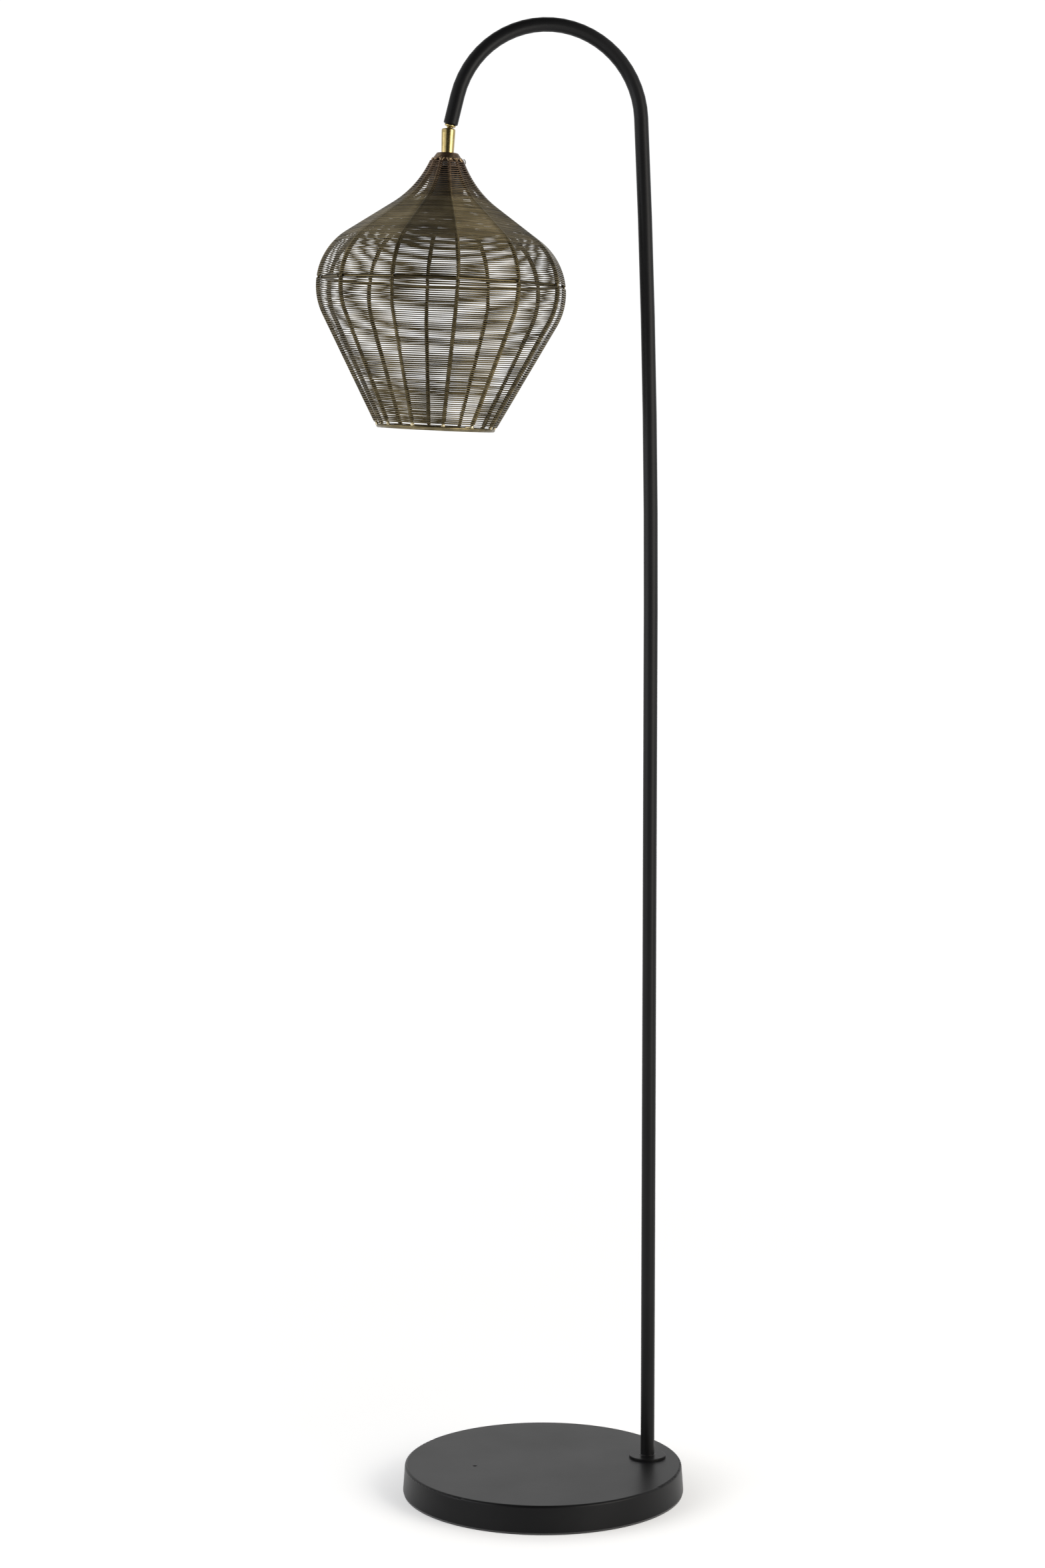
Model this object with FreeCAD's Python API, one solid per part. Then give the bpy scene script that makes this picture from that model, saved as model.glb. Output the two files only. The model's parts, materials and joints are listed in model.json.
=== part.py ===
import FreeCAD, Part
import math
import os

# Wire cage floor lamp, built piece by piece.  Lengths are in millimetres, angles in degrees.
#
# The lamp stands on z = 0.  The origin is the centre of the round base's underside, +Z is up,
# and +X runs from the base's centre to the pole, so the arm and the shade lie in the XZ plane.
# The shade is drawn hanging straight down from the ball joint's centre, which is its own
# origin, and is then leaned a little, as it hangs in the picture.

# ---------------------------------------------------------------- driving dimensions

# the round base
base_r = 160.0                  # radius of the flat top
base_flare = 2.0                # how much wider the skirt's lower edge is
base_top = 32.5                 # height of the top above the floor
cover_wall = 1.5                # sheet steel
cover_edge_round = 3.0
pad_thick = 2.5
pad_inset = 0.7                 # from the skirt's lower edge
plate_thick = 1.5
plate_gap = 2.5                 # between the plate and the inside of the skirt
weight_gap = 10.0               # between the casting and the edge of the top
weight_thick = 14.0
weight_bore_r = 17.0            # pocket in the casting for the clamp nut
weight_web = 5.0                # iron left above that pocket
screw_inset = 55.0              # from the edge of the top to the four screws
screw_r = 2.5
screw_reach = 12.0              # into the boss
screw_head_r = 4.6
screw_head_high = 2.2
screw_recess_r = 1.6
screw_recess_deep = 1.2
boss_r = 8.0
boss_skin = 3.0                 # iron left above a blind screw hole
dimple_x = -80.0
dimple_r = 3.0
dimple_deep = 0.5

# the cord's way in, through the skirt behind the lamp
inlet_azimuth = 60.0
inlet_z = 11.5
inlet_r = 3.1
inlet_wall = 1.5
inlet_flange_r = 7.0
inlet_flange_thick = 2.0
inlet_long = 12.0
lead_r = 1.7                    # the lead inside the lamp
lead_bend_r = 9.0

# the pole and its arch, one bent tube
pole_inset = 36.5               # from the edge of the base's top
pole_r = 8.0
pole_wall = 1.2
pole_straight_top = 1016.0      # the pole is upright up to this height
bow_radius = 11530.0            # above it the shade's weight bows the pole very slightly
bow_angle = 2.73
arch_radius = 105.5
arch_angle = 163.1
tip_run = 31.5                  # the last, straight stretch of the arm
flange_r = 21.2
flange_thick = 2.7
flange_edge_round = 0.8
insert_long = 22.0              # threaded plugs inside the two ends of the tube
thread_r = 4.95                 # a ten millimetre hollow threaded rod
thread_bore_r = 3.6
rod_end = 1.0                   # how far a rod stands out of its nut
washer_r = 14.0
washer_thick = 1.5
nut_flats = 14.0
nut_thick = 5.0

# the ball joint
ball_r = 5.0
stud_bore_r = 1.9
neck_r = 2.6
neck_long = 1.0                 # from the top of the ball to the waist
waist_r = 3.4
waist_long = 0.3
waist_flare = 0.35              # where the waist runs out into the collar
collar_r = 6.2
collar_gap = 0.4                # from the waist to the collar
collar_thick = 2.4
shank_long = 13.0
rim_r = 6.4                     # the bevelled rim between the tube's end and the collar
rim_thick = 1.1
liner_wall = 0.5
liner_mouth = 55.0              # angles from the top of the sphere
liner_foot = 150.0
socket_bore_gap = 0.25          # how much wider the socket's bore is than the seat in it
socket_wall = 1.75
socket_foot_wall = 1.0
socket_top_drop = 0.4           # from the top of the ball down to the socket's rim
socket_shoulder = 1.8
socket_mouth_lap = 0.95         # how far the rim laps over the liner
socket_deep = 22.2              # depth of the socket's foot below the ball's centre
cup_top = 2.0
cup_floor = 2.8
cup_bore_r = 2.8
spring_washer_thick = 0.5
spring_washers = 4
plug_long = 6.6

# the shade
shade_lean = 2.68               # the foot of the shade swings this far away from the pole
rib_count = 12
rib_phase = -1.9                # azimuth of the first rib
rib_r = 1.4                     # 5.2 in all across a rod and the wire round it
rib_top_r = 15.73               # distance of a rib's upper end from the shade's axis
rib_top_deep = 29.05
neck_angle = 21.5               # slopes are measured from the shade's axis
neck_bend_radius = 112.4
shoulder_angle = 55.9
shoulder_run = 60.0
belly_radius = 69.3
skirt_angle = 28.4
skirt_run = 136.2               # down to the centre of the foot ring's rod
cap_top_r = 12.0
cap_lap = 0.65                  # how far its foot reaches out over the middle of the ribs
cap_wall = 0.9
cap_edge = 0.6
cap_rise = 0.32                 # the foot's height above the ribs' ends
hub_thick = 2.0
mid_ring_r = 1.75               # radius of the ring's rod
mid_ring_deep = 163.4
mid_ring_askew = 2.3            # how much deeper it lies on its low side
mid_ring_low_side = -128.0      # azimuth of that side
mid_ring_joint = 6              # its ends meet halfway between this rib and the next
sleeve_long = 44.0              # the sleeve over that joint
sleeve_wall = 0.75
foot_ring_r = 1.85
wire_r = 0.6
wire_loops = 25                 # far fewer and wider apart than the real rows
wire_first_row = 2.0            # distance along a rib from its upper end
wire_last_row = 2.5             # and from its lower end

# the lamp holder, for a bulb with a 27 mm screw cap
holder_r = 19.5
holder_wall = 1.8
holder_gap = 0.1                # between the hub's nut and the holder
holder_dome_deep = 14.0
holder_neck_r = 9.0
holder_long = 56.0
holder_screw_r = 13.3
holder_screw_wall = 0.6
holder_screw_drop = 24.0        # from the holder's top to the upper end of its thread
screw_shell_gap = 1.0           # from the shell's end to the lip of the skirt
rod_in_holder = 5.0
insert_thick = 6.0
contact_r = 4.0
contact_thick = 1.0

# clearances
fit_gap = 0.05                  # pieces that are screwed, pressed or brazed together
run_gap = 0.1                   # pieces that turn on each other

# ---------------------------------------------------------------- helpers


def vec(x, y, z):
    return FreeCAD.Vector(x, y, z)


def polar(radius, angle):
    """The point (r, z) of a circle about the origin, by its angle from the top."""
    a = math.radians(angle)
    return (radius * math.sin(a), radius * math.cos(a))


def lathe(start, *moves):
    """A solid turned about the Z axis.  The outline is given in (r, z).

    A move is the next corner, or, for an arc, a pair of points: one on it and its end.
    """
    edges = []
    here = start
    closing = () if moves[-1][-1] == start else (start,)
    for move in moves + closing:
        a = vec(here[0], 0, here[1])
        if isinstance(move[0], tuple):
            middle = vec(move[0][0], 0, move[0][1])
            here = move[1]
            edges.append(Part.Arc(a, middle, vec(here[0], 0, here[1])).toShape())
        else:
            here = move
            edges.append(Part.LineSegment(a, vec(here[0], 0, here[1])).toShape())
    face = Part.Face(Part.Wire(edges))
    return face.revolve(vec(0, 0, 0), vec(0, 0, 1), 360)


def disc(radius, low, high, x=0.0, y=0.0):
    return Part.makeCylinder(radius, high - low, vec(x, y, low))


def ring_of(radius, rod_r, z):
    return Part.makeTorus(radius, rod_r, vec(0, 0, z))


def hex_nut(flats, low, high, bore):
    """A six-sided nut on the Z axis."""
    corner = flats / 2 / math.cos(math.pi / 6)
    corners = [vec(corner * math.cos(math.radians(60 * i)), corner * math.sin(math.radians(60 * i)), low)
               for i in range(6)]
    blank = Part.Face(Part.makePolygon(corners + corners[:1])).extrude(vec(0, 0, high - low))
    return blank.cut(disc(bore, low - 1, high + 1))


def tube_along(edges, radius):
    """A round bar whose centre line is a chain of tangent lines and arcs."""
    path = Part.Wire(edges)
    first = edges[0]
    start = first.valueAt(first.FirstParameter)
    along = first.tangentAt(first.FirstParameter)
    section = Part.Wire(Part.Circle(start, along, radius).toShape())
    return path.makePipeShell([section], True, False)


def rounded_path(points, bend):
    """Straight runs between points, with an arc of radius bend at every turn."""
    edges = []
    here = points[0]
    for before, corner, after in zip(points, points[1:], points[2:]):
        u = (corner - before).normalize()
        w = (after - corner).normalize()
        turn = u.getAngle(w)
        cut = bend * math.tan(turn / 2)
        enter = corner - u * cut
        leave = corner + w * cut
        inward = (w - u).normalize()
        middle = corner + inward * (bend / math.cos(turn / 2) - bend)
        edges.append(Part.LineSegment(here, enter).toShape())
        edges.append(Part.Arc(enter, middle, leave).toShape())
        here = leave
    edges.append(Part.LineSegment(here, points[-1]).toShape())
    return edges


def save(name, shape):
    shape.exportStep("parts/" + name + ".step")


os.makedirs("parts", exist_ok=True)

# ---------------------------------------------------------------- the tube's centre line

pole_x = base_r - pole_inset
collar_low = ball_r + neck_long + waist_long + collar_gap
collar_top = collar_low + collar_thick
arm_end = collar_top + rim_thick                  # of the tube, above the ball's centre


def bend_from(start, heading, radius, angle):
    """An arc in the XZ plane that turns to the left; gives the edge, its end and heading."""
    def at(turned):
        a0 = math.radians(heading)
        a1 = math.radians(heading + turned)
        return start + vec(radius * (math.sin(a1) - math.sin(a0)), 0,
                           -radius * (math.cos(a1) - math.cos(a0)))
    return Part.Arc(start, at(angle / 2), at(angle)).toShape(), at(angle), heading + angle


pole_foot = vec(pole_x, 0, base_top)
bow_start = vec(pole_x, 0, pole_straight_top)
bow_edge, arch_start, arch_heading = bend_from(bow_start, 90, bow_radius, bow_angle)
arch_edge, tip_start, tip_heading = bend_from(arch_start, arch_heading, arch_radius, arch_angle)
tip_along = vec(math.cos(math.radians(tip_heading)), 0, math.sin(math.radians(tip_heading)))
tip_end = tip_start + tip_along * tip_run
arm_lean = 270 - tip_heading                      # of the tip, from upright
ball_centre = tip_end + tip_along * arm_end

stud_place = FreeCAD.Placement(ball_centre, FreeCAD.Rotation(vec(0, 1, 0), arm_lean))
shade_place = FreeCAD.Placement(ball_centre, FreeCAD.Rotation(vec(0, 1, 0), shade_lean))


def in_shade(shape):
    """Move a piece drawn in the shade's own frame to where it hangs."""
    placed = shape.copy()
    placed.Placement = shade_place
    return placed


def on_stud(shape):
    placed = shape.copy()
    placed.Placement = stud_place
    return placed


def at_pole(shape):
    placed = shape.copy()
    placed.Placement = FreeCAD.Placement(vec(pole_x, 0, 0), FreeCAD.Rotation())
    return placed


# ---------------------------------------------------------------- the base

skirt_foot = pad_thick
skirt_foot_r = base_r + base_flare
lower_corner = (skirt_foot_r, skirt_foot)
round_start = (base_r, base_top - cover_edge_round)
round_mid = (base_r - cover_edge_round * (1 - math.sqrt(0.5)),
             base_top - cover_edge_round * (1 - math.sqrt(0.5)))
round_end = (base_r - cover_edge_round, base_top)
inner_round = cover_edge_round - cover_wall
inner_top = base_top - cover_wall
inner_r = base_r - cover_wall
inner_start = (inner_r - inner_round, inner_top)
inner_mid = (inner_r - inner_round * (1 - math.sqrt(0.5)), inner_top - inner_round * (1 - math.sqrt(0.5)))
inner_end = (inner_r, inner_top - inner_round)
cover = lathe((0, base_top), round_end, (round_mid, round_start), lower_corner,
              (skirt_foot_r - cover_wall, skirt_foot), inner_end, (inner_mid, inner_start),
              (0, inner_top))
dimple_ball_r = (dimple_r ** 2 + dimple_deep ** 2) / (2 * dimple_deep)
dimple = Part.makeSphere(dimple_ball_r, vec(dimple_x, 0, base_top - dimple_deep + dimple_ball_r))
stud_hole = disc(thread_r + 4 * fit_gap, 0, base_top + 1, pole_x)

inlet_out = vec(math.cos(math.radians(inlet_azimuth)), math.sin(math.radians(inlet_azimuth)), 0)
flange_low = inlet_z - inlet_flange_r             # the bush's flange touches the skirt here
skirt_r_at_inlet = base_r + base_flare * (base_top - cover_edge_round - flange_low) / (
    base_top - cover_edge_round - skirt_foot) + fit_gap
inlet_seat = inlet_out * skirt_r_at_inlet + vec(0, 0, inlet_z)
inlet_hole = Part.makeCylinder(inlet_r + inlet_wall + fit_gap, 20, inlet_seat - inlet_out * 10, inlet_out)
cover = cover.cut(dimple).cut(stud_hole).cut(inlet_hole)
save("base_cover", cover)

gland = Part.makeCylinder(inlet_r + inlet_wall, inlet_long - inlet_flange_thick,
                          inlet_seat - inlet_out * (inlet_long - inlet_flange_thick), inlet_out)
gland = gland.fuse(Part.makeCylinder(inlet_flange_r, inlet_flange_thick, inlet_seat, inlet_out))
gland = gland.cut(Part.makeCylinder(inlet_r, 40, inlet_seat - inlet_out * 20, inlet_out))
gland = gland.removeSplitter()
save("cord_inlet_bush", gland)

weight_top = inner_top
weight_low = weight_top - weight_thick
plate_top = pad_thick + plate_thick
screw_circle_r = base_r - screw_inset
screw_places = [(screw_circle_r * math.cos(math.radians(45 + 90 * i)),
                 screw_circle_r * math.sin(math.radians(45 + 90 * i))) for i in range(4)]
weight = disc(base_r - weight_gap, weight_low, weight_top)
for x, y in screw_places:
    weight = weight.fuse(disc(boss_r, plate_top, weight_low + 1, x, y))
for x, y in screw_places:
    weight = weight.cut(disc(screw_r + fit_gap, plate_top - 1, weight_top - boss_skin, x, y))
weight = weight.cut(disc(weight_bore_r, weight_low - 1, weight_top - weight_web, pole_x))
weight = weight.cut(disc(thread_r + 4 * fit_gap, 0, base_top, pole_x))
save("base_weight", weight.removeSplitter())

plate = disc(skirt_foot_r - cover_wall - plate_gap, pad_thick, plate_top)
pad = disc(skirt_foot_r - pad_inset, 0, pad_thick)
for x, y in screw_places:
    plate = plate.cut(disc(screw_r + 6 * fit_gap, 0, plate_top + 1, x, y))
    pad = pad.cut(disc(screw_head_r + 1, -1, pad_thick + 1, x, y))
save("base_plate", plate)
save("base_pad", pad)

screws = []
head_low = pad_thick - screw_head_high
for x, y in screw_places:
    head = disc(screw_head_r, head_low, pad_thick, x, y)
    shank = disc(screw_r, pad_thick - 1, plate_top + screw_reach, x, y)
    recess = disc(screw_recess_r, head_low - 1, head_low + screw_recess_deep, x, y)
    screws.append(head.fuse(shank).cut(recess).removeSplitter())
save("base_screws", Part.makeCompound(screws))

# ---------------------------------------------------------------- the pole's foot

web_low = weight_top - weight_web
clamp_washer = disc(washer_r, web_low - washer_thick, web_low).cut(disc(thread_r + fit_gap, 0, web_low + 1))
save("clamp_washer", at_pole(clamp_washer))
nut_top = web_low - washer_thick
nut_low = nut_top - nut_thick
save("clamp_nut", at_pole(hex_nut(nut_flats, nut_low, nut_top, thread_r + fit_gap)))
foot_rod_low = nut_low - rod_end
foot_rod = disc(thread_r, foot_rod_low, base_top + insert_long - 2 * rod_end).cut(
    disc(thread_bore_r, 0, base_top + insert_long))
save("foot_threaded_rod", at_pole(foot_rod))
tube_inner_r = pole_r - pole_wall
foot_plug = disc(tube_inner_r - fit_gap, base_top, base_top + insert_long).cut(
    disc(thread_r + fit_gap, 0, base_top + insert_long + 1))
save("foot_plug", at_pole(foot_plug))

flange_top = base_top + flange_thick
flange_bore = pole_r + fit_gap
edge = flange_edge_round
flange = lathe((flange_bore, base_top), (flange_r, base_top), (flange_r, flange_top - edge),
               ((flange_r - edge * (1 - math.sqrt(0.5)), flange_top - edge * (1 - math.sqrt(0.5))),
                (flange_r - edge, flange_top)), (flange_bore, flange_top))
save("pole_flange", at_pole(flange))

# ---------------------------------------------------------------- the pole, arch and lead

pole_edges = [Part.LineSegment(pole_foot, bow_start).toShape(), bow_edge, arch_edge,
              Part.LineSegment(tip_start, tip_end).toShape()]
pole = tube_along(pole_edges, pole_r).cut(tube_along(pole_edges, tube_inner_r))
save("pole_and_arm", pole)
pole_length = sum(e.Length for e in pole_edges)
section_area = math.pi * (pole_r ** 2 - tube_inner_r ** 2)
print("pole tube length %.1f, volume against section times length %.5f"
      % (pole_length, pole.Volume / (section_area * pole_length)))

lead_low = foot_rod_low - lead_bend_r
lead_start = inlet_out * (skirt_r_at_inlet - inlet_long - 4) + vec(0, 0, lead_low)
lead_turn = vec(pole_x, 0, lead_low)
across = rounded_path([lead_start, lead_turn, pole_foot], lead_bend_r)
up_the_pole = pole_edges[:-1] + [Part.LineSegment(tip_start, ball_centre).toShape()]
stand_lead = tube_along(across + up_the_pole, lead_r)
save("stand_lead", stand_lead)

# ---------------------------------------------------------------- the ball joint

plug_top = arm_end + insert_long
arm_plug = lathe((thread_r + fit_gap, collar_top), (rim_r, collar_top), (pole_r, arm_end),
                 (tube_inner_r - fit_gap, arm_end), (tube_inner_r - fit_gap, plug_top),
                 (thread_r + fit_gap, plug_top))
save("arm_plug", on_stud(arm_plug))

waist_low = ball_r + neck_long
waist_high = waist_low + waist_long
ball_foot = -math.sqrt(ball_r ** 2 - stud_bore_r ** 2)
neck_foot = math.sqrt(ball_r ** 2 - neck_r ** 2)
collar_mid = (collar_low + collar_top) / 2
collar_round = (collar_top - collar_low) / 2
stud = lathe((stud_bore_r, ball_foot), ((ball_r, 0), (neck_r, neck_foot)),
             (waist_r, waist_low), (waist_r, waist_high),
             ((waist_r + waist_flare, collar_low - collar_gap / 6), (collar_r - collar_round, collar_low)),
             ((collar_r, collar_mid), (collar_r - collar_round, collar_top)),
             (thread_r, collar_top), (thread_r, collar_top + shank_long),
             (stud_bore_r, collar_top + shank_long))
save("ball_stud", on_stud(stud))

liner_in = ball_r + run_gap
liner_out = liner_in + liner_wall
middle_angle = (liner_mouth + liner_foot) / 2
liner = lathe(polar(liner_in, liner_mouth), (polar(liner_in, middle_angle), polar(liner_in, liner_foot)),
              polar(liner_out, liner_foot), (polar(liner_out, middle_angle), polar(liner_out, liner_mouth)))
save("ball_liner", in_shade(liner))

seat_r = liner_out + run_gap
socket_bore_r = seat_r + socket_bore_gap
cup_r = socket_bore_r - run_gap
cup_deep = seat_r + cup_floor
dish_start = (math.sqrt(seat_r ** 2 - cup_top ** 2), -cup_top)
dish_end = (cup_bore_r, -math.sqrt(seat_r ** 2 - cup_bore_r ** 2))
dish_angle = (math.degrees(math.atan2(dish_start[0], dish_start[1]))
              + math.degrees(math.atan2(dish_end[0], dish_end[1]))) / 2
cup = lathe(dish_start, (polar(seat_r, dish_angle), dish_end), (cup_bore_r, -cup_deep),
            (cup_r, -cup_deep), (cup_r, -cup_top))
save("seat_cup", in_shade(cup))

socket_r = socket_bore_r + socket_wall
socket_foot_r = socket_bore_r + socket_foot_wall
socket_mouth_r = seat_r - socket_mouth_lap
socket_top = ball_r - socket_top_drop
mouth_z = math.sqrt(seat_r ** 2 - socket_mouth_r ** 2)
mouth_angle = math.degrees(math.atan2(socket_mouth_r, mouth_z))
shoulder_z = socket_top - socket_shoulder
s = socket_shoulder * (1 - math.sqrt(0.5))
socket = lathe((socket_mouth_r, mouth_z), (socket_r - socket_shoulder, socket_top),
               ((socket_r - s, socket_top - s), (socket_r, shoulder_z)),
               (socket_r, 0), (socket_foot_r, -socket_deep), (socket_bore_r, -socket_deep),
               (socket_bore_r, 0), (seat_r, 0),
               (polar(seat_r, (90 + mouth_angle) / 2), (socket_mouth_r, mouth_z)))
save("swivel_socket", in_shade(socket))

socket_plug_top = -socket_deep + plug_long
socket_plug = disc(socket_bore_r - fit_gap, -socket_deep, socket_plug_top).cut(
    disc(thread_r + fit_gap, -socket_deep - 1, socket_plug_top + 1))
save("socket_plug", in_shade(socket_plug))

# conical spring washers, stacked crown to crown, press the cup up against the liner
spring_room = socket_plug_top + cup_deep
cone_step = (-spring_room - run_gap) / spring_washers
cone_rise = cone_step - spring_washer_thick
cone_out = socket_bore_r - 2 * run_gap
washers = []
for i in range(spring_washers):
    low = socket_plug_top + i * cone_step
    high = low + cone_rise
    inner, outer = (high, low) if i % 2 == 0 else (low, high)
    washers.append(lathe((cup_bore_r, inner), (cone_out, outer), (cone_out, outer + spring_washer_thick),
                         (cup_bore_r, inner + spring_washer_thick)))
save("spring_washers", in_shade(Part.makeCompound(washers)))

# ---------------------------------------------------------------- the shade's frame


def sloped(r, deep, angle, run):
    """The end of a straight run, by its slope from the axis."""
    a = math.radians(angle)
    return r + run * math.sin(a), deep + run * math.cos(a)


def bent(r, deep, angle, radius, end_angle):
    """The end of an arc that turns from one slope to another; a hollow one opens outwards."""
    a0 = math.radians(angle)
    a1 = math.radians(end_angle)
    side = 1 if end_angle > angle else -1
    return (r + side * radius * (math.cos(a0) - math.cos(a1)),
            deep + side * radius * (math.sin(a1) - math.sin(a0)))


neck_bend_long = neck_bend_radius * math.radians(shoulder_angle - neck_angle)
belly_long = belly_radius * math.radians(shoulder_angle + skirt_angle)
rib_end_gap = foot_ring_r + fit_gap
rib_long = neck_bend_long + shoulder_run + belly_long + skirt_run - rib_end_gap
shoulder_foot = bent(rib_top_r, rib_top_deep, neck_angle, neck_bend_radius, shoulder_angle)
belly_top = sloped(*shoulder_foot, shoulder_angle, shoulder_run)
belly_foot = bent(*belly_top, shoulder_angle, belly_radius, -skirt_angle)
foot_ring_place = sloped(*belly_foot, -skirt_angle, skirt_run)


def along_rib(run):
    """Radius, depth and slope of a rib's centre line at a distance from its upper end."""
    if run < neck_bend_long:
        angle = neck_angle + math.degrees(run / neck_bend_radius)
        return bent(rib_top_r, rib_top_deep, neck_angle, neck_bend_radius, angle) + (angle,)
    run -= neck_bend_long
    if run < shoulder_run:
        return sloped(*shoulder_foot, shoulder_angle, run) + (shoulder_angle,)
    run -= shoulder_run
    if run < belly_long:
        angle = shoulder_angle - math.degrees(run / belly_radius)
        return bent(*belly_top, shoulder_angle, belly_radius, angle) + (angle,)
    return sloped(*belly_foot, -skirt_angle, run - belly_long) + (-skirt_angle,)


def on_rib(run):
    r, deep, angle = along_rib(run)
    return vec(r, 0, -deep)


bends = [0, neck_bend_long, neck_bend_long + shoulder_run,
         neck_bend_long + shoulder_run + belly_long, rib_long]
rib_edges = [
    Part.Arc(on_rib(0), on_rib(bends[1] / 2), on_rib(bends[1])).toShape(),
    Part.LineSegment(on_rib(bends[1]), on_rib(bends[2])).toShape(),
    Part.Arc(on_rib(bends[2]), on_rib((bends[2] + bends[3]) / 2), on_rib(bends[3])).toShape(),
    Part.LineSegment(on_rib(bends[3]), on_rib(rib_long)).toShape()]
rib = tube_along(rib_edges, rib_r)
print("rib length %.1f, volume against section times length %.5f"
      % (rib_long, rib.Volume / (math.pi * rib_r ** 2 * rib_long)))
rib_step = 360 / rib_count
for i in range(rib_count):
    one = rib.copy()
    one.rotate(vec(0, 0, 0), vec(0, 0, 1), rib_phase + i * rib_step)
    one = Part.makeCompound([one]).Solids[0]
    one.Placement = shade_place.multiply(one.Placement)
    save("rib_%02d" % (i + 1), one)

foot_ring = ring_of(foot_ring_place[0], foot_ring_r, -foot_ring_place[1])
save("foot_ring", in_shade(foot_ring))

# the girdle is a rod bent straight from rib to rib, inside them, near the widest part; it sits
# a little askew, and a sleeve holds its two ends
girdle_in = rib_r + mid_ring_r + fit_gap


def girdle_corner(azimuth):
    """Where the girdle's centre line passes the rib at this azimuth."""
    deep = mid_ring_deep + mid_ring_askew * math.cos(math.radians(azimuth - mid_ring_low_side))
    slope = math.asin(math.sin(math.radians(shoulder_angle)) - (deep - belly_top[1]) / belly_radius)
    rib_at, rib_deep = bent(*belly_top, shoulder_angle, belly_radius, math.degrees(slope))
    turn = math.radians(azimuth)
    r = rib_at - girdle_in * math.cos(slope)
    return vec(r * math.cos(turn), r * math.sin(turn), -rib_deep - girdle_in * math.sin(slope))


girdle_corners = [girdle_corner(rib_phase + (mid_ring_joint + i) * rib_step) for i in range(rib_count + 2)]
seam = (girdle_corners[0] + girdle_corners[1]) / 2
girdle_edges = rounded_path([seam] + girdle_corners[1:-1] + [seam], 2 * mid_ring_r)
girdle = tube_along(girdle_edges, mid_ring_r)
save("girdle_ring", in_shade(girdle))
seam_along = (girdle_corners[1] - girdle_corners[0]).normalize()
sleeve_start = seam - seam_along * (sleeve_long / 2)
sleeve_bore_r = mid_ring_r + fit_gap
sleeve = Part.makeCylinder(sleeve_bore_r + sleeve_wall, sleeve_long, sleeve_start, seam_along).cut(
    Part.makeCylinder(sleeve_bore_r, sleeve_long, sleeve_start, seam_along))
save("girdle_sleeve", in_shade(sleeve))

# the wire runs straight from rib to rib, round and down the cage, outside every rib
wire_bend = rib_r + fit_gap + wire_r
corner_out = wire_bend / math.cos(math.radians(rib_step / 2))
first_run = wire_first_row
last_run = rib_long - wire_last_row
crossings = wire_loops * rib_count
corners = []
for k in range(crossings + 1):
    r, deep, angle = along_rib(first_run + (last_run - first_run) * k / crossings)
    slope = math.radians(angle)
    turn = math.radians(rib_phase + k * rib_step)
    out = r + corner_out * math.cos(slope)
    corners.append(vec(out * math.cos(turn), out * math.sin(turn), -deep + corner_out * math.sin(slope)))
wire_edges = rounded_path(corners, wire_bend)
winding = tube_along(wire_edges, wire_r)
wire_long = sum(e.Length for e in wire_edges)
rows_apart = min((b - a).Length for a, b in zip(corners, corners[rib_count:]))
print("wire length %.0f, volume against section times length %.5f, least gap to itself %.2f"
      % (wire_long, winding.Volume / (math.pi * wire_r ** 2 * wire_long), rows_apart - 2 * wire_r))
save("wire_winding", in_shade(winding))

# ---------------------------------------------------------------- the shade's top

rod_hole_r = thread_r + fit_gap
cap_top = -socket_deep - fit_gap
cap_foot = -rib_top_deep + cap_rise
cap_foot_r = rib_top_r + cap_lap
cap = lathe((rod_hole_r, cap_top), (cap_top_r - cap_edge, cap_top),
            ((cap_top_r - 0.18, cap_top - 0.18), (cap_top_r + 0.2, cap_top - cap_edge)),
            (cap_foot_r, cap_foot), (cap_foot_r - cap_wall, cap_foot),
            (cap_top_r - cap_wall, cap_top - cap_wall), (rod_hole_r, cap_top - cap_wall))
save("shade_cap", in_shade(cap))

hub_r = rib_top_r - rib_r / math.cos(math.radians(neck_angle)) - fit_gap
hub_low = -rib_top_deep - hub_thick
hub = disc(hub_r, hub_low, -rib_top_deep).cut(disc(rod_hole_r, hub_low - 1, 0))
save("rib_hub", in_shade(hub))
hub_nut_low = hub_low - nut_thick
save("hub_nut", in_shade(hex_nut(nut_flats, hub_nut_low, hub_low, rod_hole_r)))

holder_top = -hub_nut_low + holder_gap
holder_dome_low = -holder_top - holder_dome_deep
holder_foot = -holder_top - holder_long
rod_low = -holder_top - rod_in_holder
shade_rod = disc(thread_r, rod_low, socket_plug_top - rod_end).cut(disc(thread_bore_r, rod_low - 1, 0))
save("shade_threaded_rod", in_shade(shade_rod))

# ---------------------------------------------------------------- the lamp holder

dome_mid = polar(1, 45)
dome_out = (holder_neck_r + (holder_r - holder_neck_r) * dome_mid[0],
            holder_dome_low + holder_dome_deep * dome_mid[1])
dome_in_r = holder_r - holder_wall
dome_in_top = -holder_top - holder_wall
dome_in = (holder_neck_r + (dome_in_r - holder_neck_r) * dome_mid[0],
           holder_dome_low + (holder_dome_deep - holder_wall) * dome_mid[1])
holder_cap = lathe((rod_hole_r, -holder_top), (holder_neck_r, -holder_top),
                   (dome_out, (holder_r, holder_dome_low)), (dome_in_r, holder_dome_low),
                   (dome_in, (holder_neck_r, dome_in_top)), (rod_hole_r, dome_in_top))
save("holder_cap", in_shade(holder_cap))

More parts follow.
